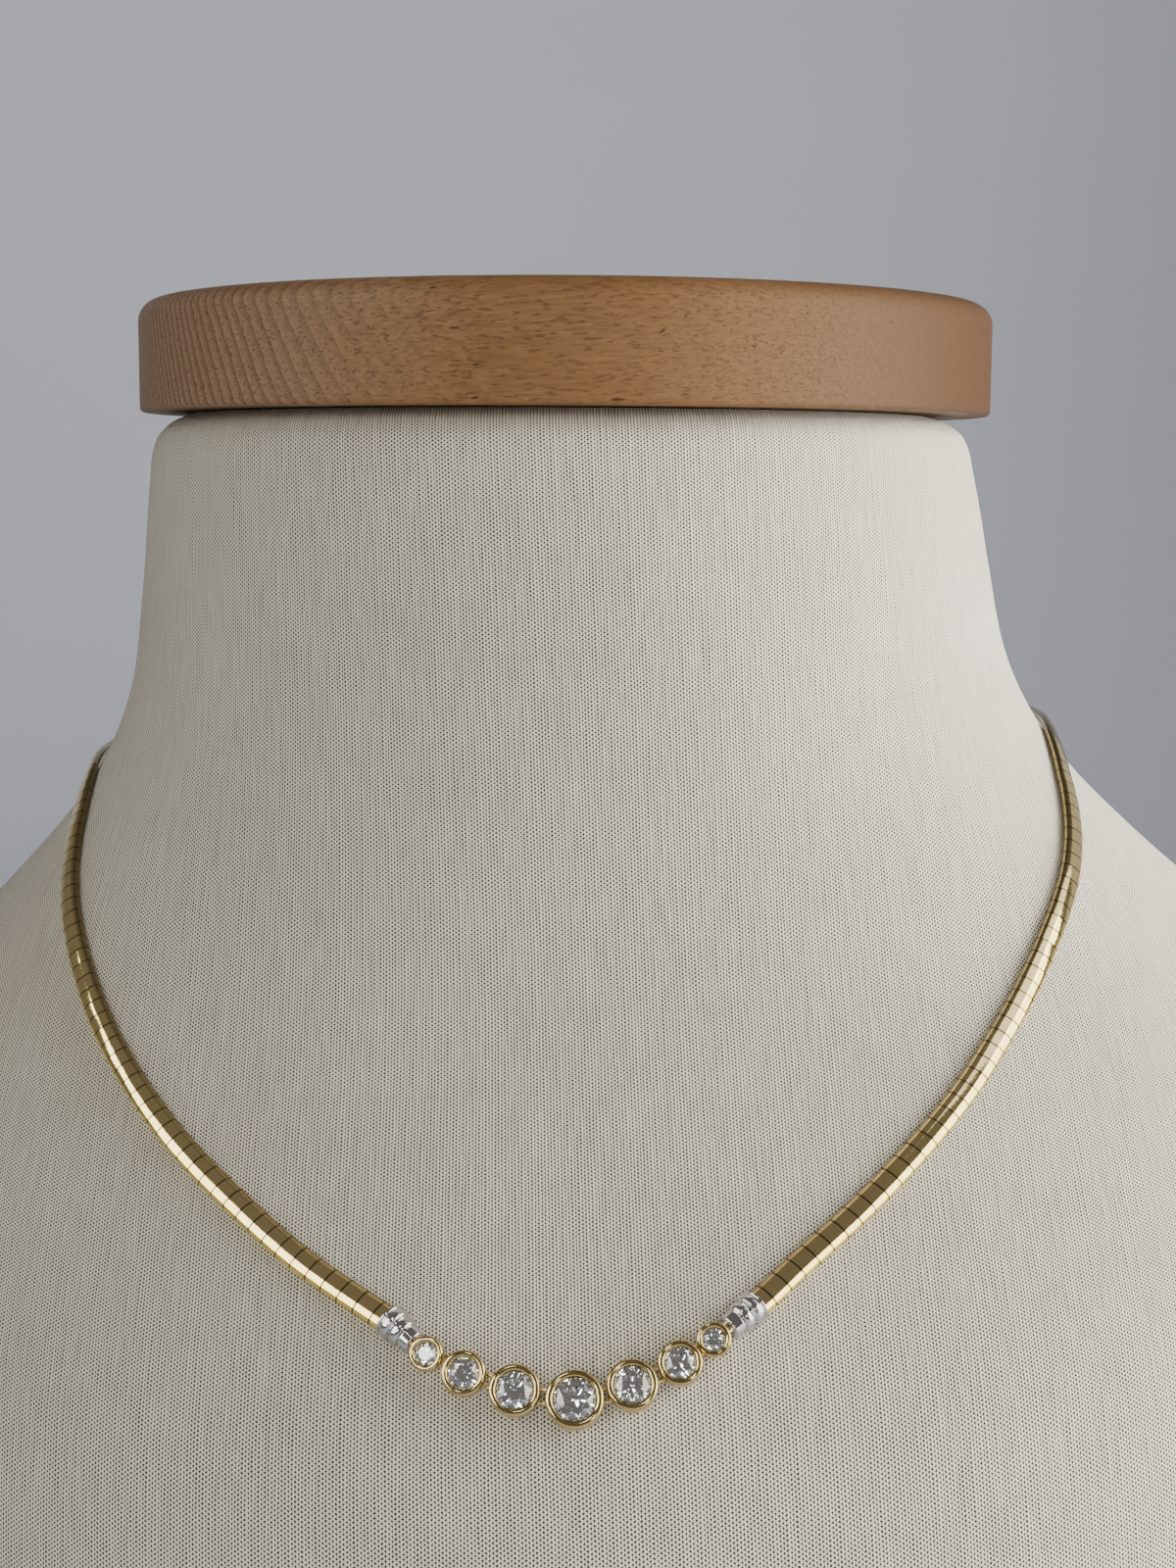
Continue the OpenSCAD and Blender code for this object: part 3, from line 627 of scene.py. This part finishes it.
def cup_profile(i):
    """Radius and height of one cup, around its wall: up the swelling outside, over the round rim,
    down past the stone's edge to its seat and down the bore."""
    t = np.linspace(0, 1, 12)[:, None]
    wall = np.hstack([foot_r[i] + (bezel_r[i] - foot_r[i]) * np.sin(0.5 * math.pi * t),
                      SWELL * bezel_h[i] * t])
    rim = corner(shown_r[i] + rim_r[i], lip_z[i], rim_r[i], 0, 180, 24)
    seat = girdle_r[i] + STONE_GAP
    seat_z = girdle_z[i] - GIRDLE - STONE_GAP
    bore_z = seat_z - (girdle_r[i] - hollow_r[i]) * math.tan(PAVILION)
    return np.vstack([wall, [[bezel_r[i], 0.5 * (SWELL * bezel_h[i] + lip_z[i])]], rim,
                      [[seat, girdle_z[i] + STONE_GAP], [seat, seat_z], [hollow_r[i], bore_z],
                       [hollow_r[i], 0]]])


cups = in_row(np.stack([turned(cup_profile(i), 96) for i in range(7)]))
# The cups take the darker gold of painted shade.
settings = closed_bodies("bezel_cups", cups, painted_shade_cup_gold, looped=True)
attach(settings, "root")
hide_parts(*[f"bezel_{i}" for i in range(1, 8)])


# The stones: round brilliants with a table, eight stars, eight kites, thirty-two girdle facets
# and a pointed back of eight mains and sixteen halves, each held under its rim.
# Radii by the girdle's: the table's corners, the points of the stars and those of the lower halves
TABLE_R = 0.56
STAR_R = 0.8
LOWER_R = 0.22
diamond, diamond_shader, start = new_finish(
    "clear_brilliant", transmission_weight=1.0, ior=2.3, roughness=0.0)
place = start.node("ShaderNodeTexCoord", {}, {}, 3)
tint = start.node("ShaderNodeTexNoise", {}, {"Vector": place, "Scale": 900.0, "Detail": 1.0})
feed(diamond_shader,
     base_color=tint.ranged(0.3, 0.7).mixed((0.94, 0.95, 1.0, 1), (1.0, 0.98, 0.97, 1)))


def facet_ring(radius, height, turns):
    """Corners at these eighths of a turn, for each stone: (7, corners, 3)."""
    a = 0.25 * math.pi * np.asarray(turns)
    return np.stack([radius[:, None] * np.cos(a), radius[:, None] * np.sin(a),
                     np.broadcast_to(height[:, None], (7, len(a)))], -1)


eighths, halves = np.arange(8), np.arange(16) / 2
half_cos = math.cos(math.pi / 8)
below = girdle_z - GIRDLE
crown, pavilion = girdle_r * math.tan(CROWN), girdle_r * math.tan(PAVILION)
corners = np.concatenate([
    facet_ring(TABLE_R * girdle_r, girdle_z + (1 - TABLE_R) * crown, eighths),
    facet_ring(STAR_R * girdle_r, girdle_z + (1 - STAR_R * half_cos) * crown, eighths + 0.5),
    facet_ring(girdle_r, girdle_z, halves),
    facet_ring(girdle_r, below, halves),
    facet_ring(LOWER_R * girdle_r, below - (1 - LOWER_R * half_cos) * pavilion, eighths + 0.5),
    facet_ring(0 * girdle_r, below - pavilion, [0])], 1)
k, after, before = eighths, (eighths + 1) % 8, (eighths - 1) % 8
star, upper, lower, deep_spot, culet = 8 + k, 16 + 2 * k, 32 + 2 * k, 48 + k, np.full(8, 56)
next_upper, next_lower = 16 + (2 * k + 2) % 16, 32 + (2 * k + 2) % 16
girdle, girdle_next = np.arange(16), (np.arange(16) + 1) % 16
facets = [[*range(8)]]
for fan in ([k, star, after], [k, 8 + before, upper, star],
            [star, upper, upper + 1], [star, upper + 1, next_upper],
            [16 + girdle, 32 + girdle, 32 + girdle_next, 16 + girdle_next],
            [lower, deep_spot, lower + 1], [lower + 1, deep_spot, next_lower],
            [lower, 48 + before, culet, deep_spot]):
    facets += np.column_stack(fan).tolist()
seated = in_row(corners[:, None])[:, 0]
cut = [[point + corners.shape[1] * i for point in facet] for i in range(7) for facet in facets]
stones = new_piece("round_brilliants", seated.reshape(-1, 3), cut, diamond, smooth=False)
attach(stones, "root")
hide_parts(*[f"stone_{i}" for i in range(1, 8)])


# The links: small closed loops of gold wire between the cups, and between the outer cups and the
# end caps. Each passes through two holes in either neighbour, so the row can swing.
WIRE_R = 0.00018
LINK_Z = 0.00055
# Where the outer links hold the end caps: behind the nose, and above the other links
HOLD = 0.0009
HOLD_RISE = 0.00025
joint_s = np.concatenate([[-nose_s - HOLD], stone_s, [nose_s + HOLD]])
rise = np.concatenate([[LINK_Z + HOLD_RISE], LINK_Z + lift, [LINK_Z + HOLD_RISE]])
joints = at(joint_s) + rise[:, None] * axes(joint_s)[:, 2]
inset = np.concatenate([[0], 0.45 * hollow_r, [0]])
bore = np.concatenate([hollow_r[:1], hollow_r, hollow_r[:1]])
leg_y = 0.5 * np.minimum(bore[:-1], bore[1:])
along = unit(np.diff(joints, axis=0))
out = unit(steepest((joints[:-1] + joints[1:]) / 2))
away = unit(out - (out * along).sum(-1, keepdims=True) * along)
link_axes = np.stack([along, np.cross(away, along), away], -2)
span = np.linalg.norm(np.diff(joints, axis=0), axis=1)
bend = 0.6 * leg_y
quarter = np.arange(9) / 8 * 0.5 * math.pi
heading = np.concatenate([quarter + j * math.pi for j in (0, 0.5, 1, 1.5)])
end_x = np.repeat([1, 0, 0, 1], 9)
end_y = np.repeat([1, 1, -1, -1], 9)
wire_x = np.where(end_x, (span - inset[1:] - bend)[:, None], (inset[:-1] + bend)[:, None])
spots = np.stack([wire_x + bend[:, None] * np.cos(heading),
                  (leg_y - bend)[:, None] * end_y + bend[:, None] * np.sin(heading),
                  np.zeros_like(wire_x)], -1)
outwards = np.stack([np.cos(heading), np.sin(heading), 0 * heading], -1)
turn = 2 * math.pi * np.arange(12) / 12
tube = WIRE_R * (np.cos(turn)[:, None] * outwards[:, None] + np.sin(turn)[:, None] * (0, 0, 1))
links = closed_bodies("wire_links", placed(joints[:-1], link_axes, spots[:, :, None] + tube),
                      yellow_gold, looped=True)
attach(links, "root")
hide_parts(*[f"link_{i}" for i in range(1, 9)])


# The clasp at the nape, which the photograph doesn't show: a plain half-round gold barrel with
# eased ends, which both ends of the chain run into.
CLASP_WALL = 0.00045
CLASP_EDGE = 0.0004
barrel = POCKET_R + CLASP_WALL
arc = np.radians(np.linspace(0, 90, 8))
left_end = np.column_stack([-CLASP_L / 2 + CLASP_EDGE * (1 - np.cos(arc)),
                            barrel - CLASP_EDGE + CLASP_EDGE * np.sin(arc)])
clasp_profile = np.vstack([[[-CLASP_L / 2, 0.6 * barrel]], left_end, (left_end * (-1, 1))[::-1],
                           [[CLASP_L / 2, 0.6 * barrel]]])
nape_s = np.array([LOOP / 2 + HANG_SHIFT])
clasp = closed_bodies("barrel_clasp", placed(at(nape_s), axes(nape_s),
                                             barrel_rings(clasp_profile, 48)), yellow_gold)
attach(clasp, "root")
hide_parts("clasp")


# The table the form stands on: a pale sheet that sweeps up behind it.
paper, paper_shader, start = new_finish("pale_paper", roughness=0.85)
feed(paper_shader, base_color=start.node("ShaderNodeTexNoise", {}, {"Scale": 3.0}).mixed(
    linear(200, 204, 214), linear(207, 211, 221)))
sweep = np.vstack([[[-1.6, 0], [0.5, 0]], corner(0.5, 0.3, 0.3, -90, 0, 16), [[0.8, 0.7]]])
width = np.linspace(-1.6, 1.6, 9)
wide = len(width)
sheet = np.stack(np.broadcast_arrays(width, sweep[:, :1], sweep[:, 1:]), -1)
r, c = np.indices((len(sweep) - 1, wide - 1)).reshape(2, -1)
first = r * wide + c
floor = new_piece("table_top", sheet.reshape(-1, 3),
                  np.column_stack([first, first + 1, first + wide + 1, first + wide]).tolist(),
                  paper)


# The light: a broad window on the right with fills at the side and in front, in a dim room. Metal
# and stones mirror other boxes: the window's sheen, a curtain, a wall, a window on the left and
# three small panes.
def posed(name, data, right, up, back, spot):
    """A light or camera at spot, by the directions of its own three axes."""
    made = bpy.data.objects.new(name, data)
    bpy.context.collection.objects.link(made)
    made.matrix_world = Matrix([*np.column_stack([right, up, back, spot]).tolist(), [0, 0, 0, 1]])
    return made


def soft_box(name, spot, aim, size, glow, colour, mirrored):
    """A rectangular light at spot turned towards aim, of this width and height and radiance. It
    either is there for metal and stones to mirror, or lights what is matt and shows in neither."""
    light = bpy.data.lights.new(name, "AREA")
    light.shape, light.size, light.size_y, light.color = "RECTANGLE", *size, colour
    light.energy = glow * math.pi * size[0] * size[1]
    back = unit(np.array(spot, float) - np.array(aim, float))
    level = unit(np.cross((0, 0, 1), back))
    made = posed(name, light, level, np.cross(back, level), back, spot)
    made.visible_camera, made.visible_diffuse = False, not mirrored
    made.visible_glossy = made.visible_transmission = mirrored


# Spot, aim, width and height, radiance, colour
LIGHTING = {
    "window_right": [(0.45, -0.2, 0.24), (0, -0.2, 0.24), (0.5, 0.44), 6.5, (1, 0.99, 0.97)],
    "side_fill": [(0.42, 0.05, 0.13), (0, 0, 0.13), (0.3, 0.24), 15, (1, 0.99, 0.96)],
    "front_fill": [(-0.1, -0.8, 0.3), (0, 0, 0.1), (0.6, 0.4), 4.2, (1, 0.99, 0.97)],
    "wall_wash": [(-0.5, 0.1, 0.5), (-0.35, 0.7, 0.35), (0.3, 0.3), 3, (0.95, 0.97, 1)]}
MIRRORED = {
    "sheen_right": [(0.43, -0.2, 0.24), (0, -0.2, 0.24), (0.48, 0.42), 5.5, (1, 0.98, 0.72)],
    "curtain_right": [(0.46, 0.02, 0.85), (0, 0.02, 0.85), (0.2, 0.9), 1.5, (1, 1, 1)],
    "wall_right": [(0.5, 0.42, 0.3), (0, 0.42, 0.3), (0.6, 0.6), 0.35, (1, 0.97, 0.94)],
    "window_left": [(-0.6, -0.24, 0.42), (0, 0.1, 0.2), (0.62, 0.56), 5, (1, 0.99, 0.80)],
    "pane_left": [(-0.38, -0.75, 0.45), (0, -0.1, 0.06), (0.12, 0.2), 12, (0.95, 0.97, 1)],
    "pane_right": [(0.3, -0.8, 0.36), (0, -0.1, 0.06), (0.1, 0.16), 12, (0.95, 0.97, 1)],
    "pane_above": [(-0.12, -0.5, 0.8), (0, -0.1, 0.06), (0.14, 0.1), 12, (0.97, 0.97, 1)]}
for name, row in LIGHTING.items():
    soft_box(name, *row, mirrored=False)
for name, row in MIRRORED.items():
    soft_box(name, *row, mirrored=True)
world = bpy.data.worlds.new("dim_room")
bpy.context.scene.world = world
world.use_nodes = True
background = world.node_tree.nodes["Background"].inputs
background["Color"].default_value = (1, 0.96, 0.9, 1)
background["Strength"].default_value = 0.165


# The camera, at the photograph's viewing angle: a little above the stones, looking slightly down.
CAMERA_SPOT = (0.00365, AXIS_Y - 0.30712, 0.14289)
CAMERA_LEAN = 0.04253
pitch, roll = math.radians(7.574), math.radians(0.323)
forward = np.array([0, math.cos(pitch), -math.sin(pitch)])
right = np.array([1.0, 0, 0])
up = np.cross(right, forward)
right, up = (math.cos(roll) * right + math.sin(roll) * up,
             -math.sin(roll) * right + math.cos(roll) * up)
upright = np.array([[math.cos(CAMERA_LEAN), 0, -math.sin(CAMERA_LEAN)], [0, 1, 0],
                    [math.sin(CAMERA_LEAN), 0, math.cos(CAMERA_LEAN)]])
right, up, forward = right @ upright, up @ upright, forward @ upright
camera = posed("camera", bpy.data.cameras.new("camera"), right, up, -forward, CAMERA_SPOT)
camera.data.lens = 54
camera.data.clip_start, camera.data.clip_end = 0.01, 10
bpy.context.scene.camera = camera
